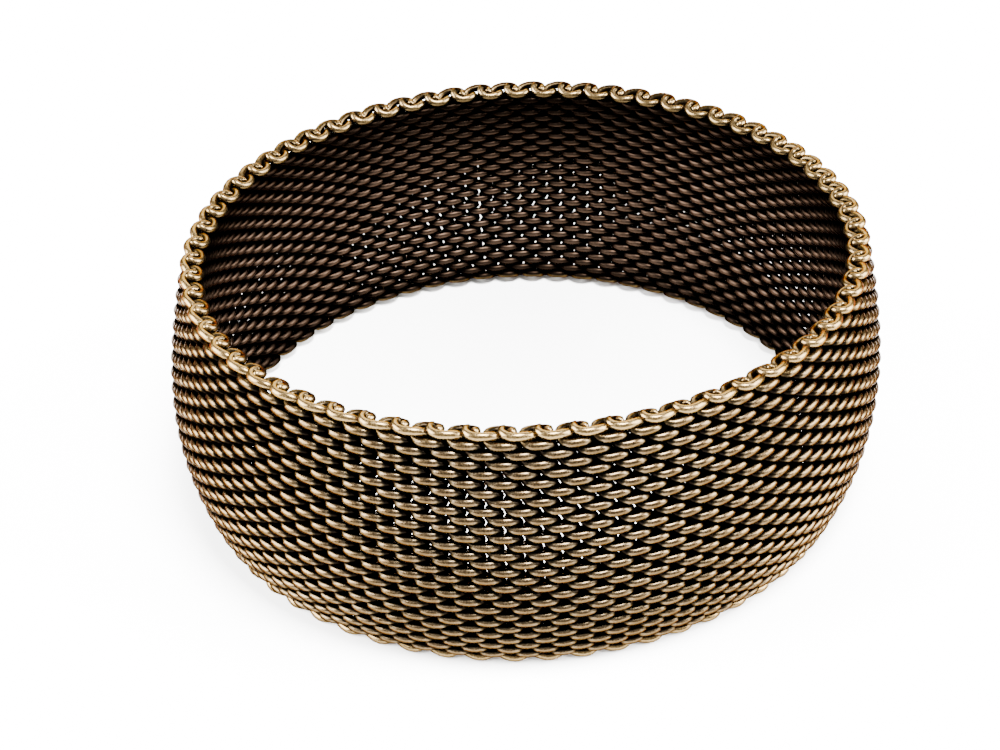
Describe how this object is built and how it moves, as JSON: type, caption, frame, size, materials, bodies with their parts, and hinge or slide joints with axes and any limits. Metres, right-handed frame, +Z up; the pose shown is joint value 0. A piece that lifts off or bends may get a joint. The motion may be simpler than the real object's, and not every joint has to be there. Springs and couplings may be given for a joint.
{
  "type": "mesh bracelet",
  "caption": "Closed mesh bracelet: a barrel-shaped ring woven from interlinked coil wires, with hooked wire ends standing proud along both edges",
  "frame": {"origin": "centre of the bracelet's bounding box, on the flat surface that its lower edge rests on", "axes": "+Z runs up the axis of the ring from the lower edge to the upper edge, -Y faces the picture's viewer, X runs across"},
  "size_m": [0.071, 0.071, 0.0254],
  "materials": {
    "bronze": "antiqued, worn bright on the high spots"
  },
  "bodies": {
    "root": {"woven_band": "bronze"}
  },
  "joints": []
}
